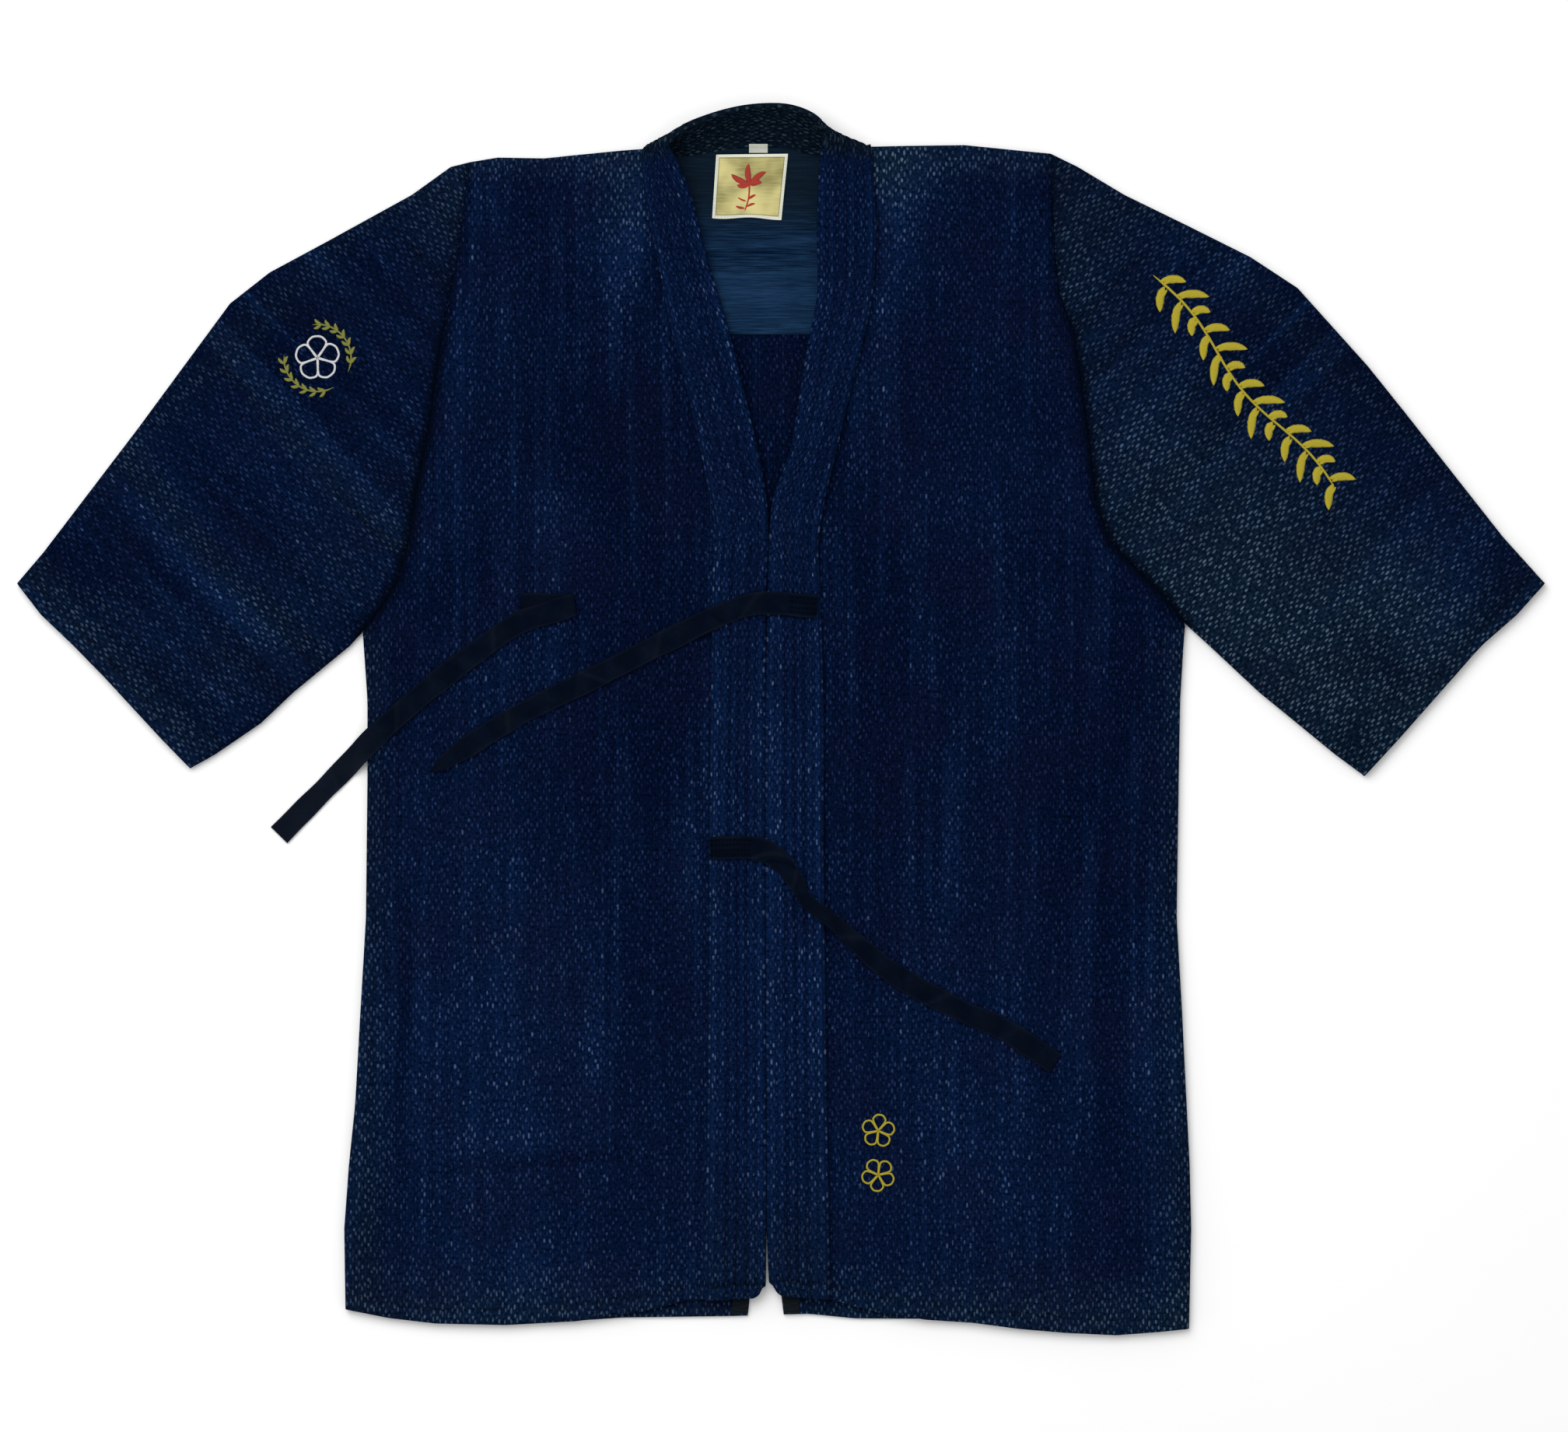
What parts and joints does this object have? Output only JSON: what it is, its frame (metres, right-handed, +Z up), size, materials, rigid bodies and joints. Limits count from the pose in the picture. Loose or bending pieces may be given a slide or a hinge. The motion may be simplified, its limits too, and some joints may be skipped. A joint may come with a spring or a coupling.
{
  "type": "noragi sashiko cotton jacket",
  "caption": "Short-sleeved wrap jacket of quilted indigo cotton with a banded collar and cloth ties, laid flat on its back.",
  "frame": {"origin": "middle of the part's box, on the surface that the jacket lies on", "axes": "+X towards the wearer's left sleeve, +Y towards the collar, +Z up through the fronts"},
  "size_m": [1.0922, 0.879, 0.0285],
  "materials": {
    "indigo_cloth": "matt sashiko weave",
    "band_cloth": "matt quilted sashiko weave",
    "lining_cloth": "matt plain weave",
    "label_satin": "satin weave",
    "tab_cloth": "plain weave",
    "facing_tape": "twill tape",
    "tie_cloth": "smooth cotton",
    "seam_thread": "cotton sewing thread",
    "embroidery_thread": "lustrous thread"
  },
  "bodies": {
    "root": {"back_right": "indigo_cloth", "back_left": "indigo_cloth", "front_right": "indigo_cloth", "front_left": "indigo_cloth", "sleeve_right": "indigo_cloth", "sleeve_left": "indigo_cloth", "collar": "band_cloth", "lining": "lining_cloth", "label": "label_satin", "size_tab": "tab_cloth", "vent_facing_right": "facing_tape", "vent_facing_left": "facing_tape", "tie_chest_end": "tie_cloth", "tie_chest": "tie_cloth", "tie_collar_upper": "tie_cloth", "tie_collar_lower": "tie_cloth"}
  },
  "joints": []
}
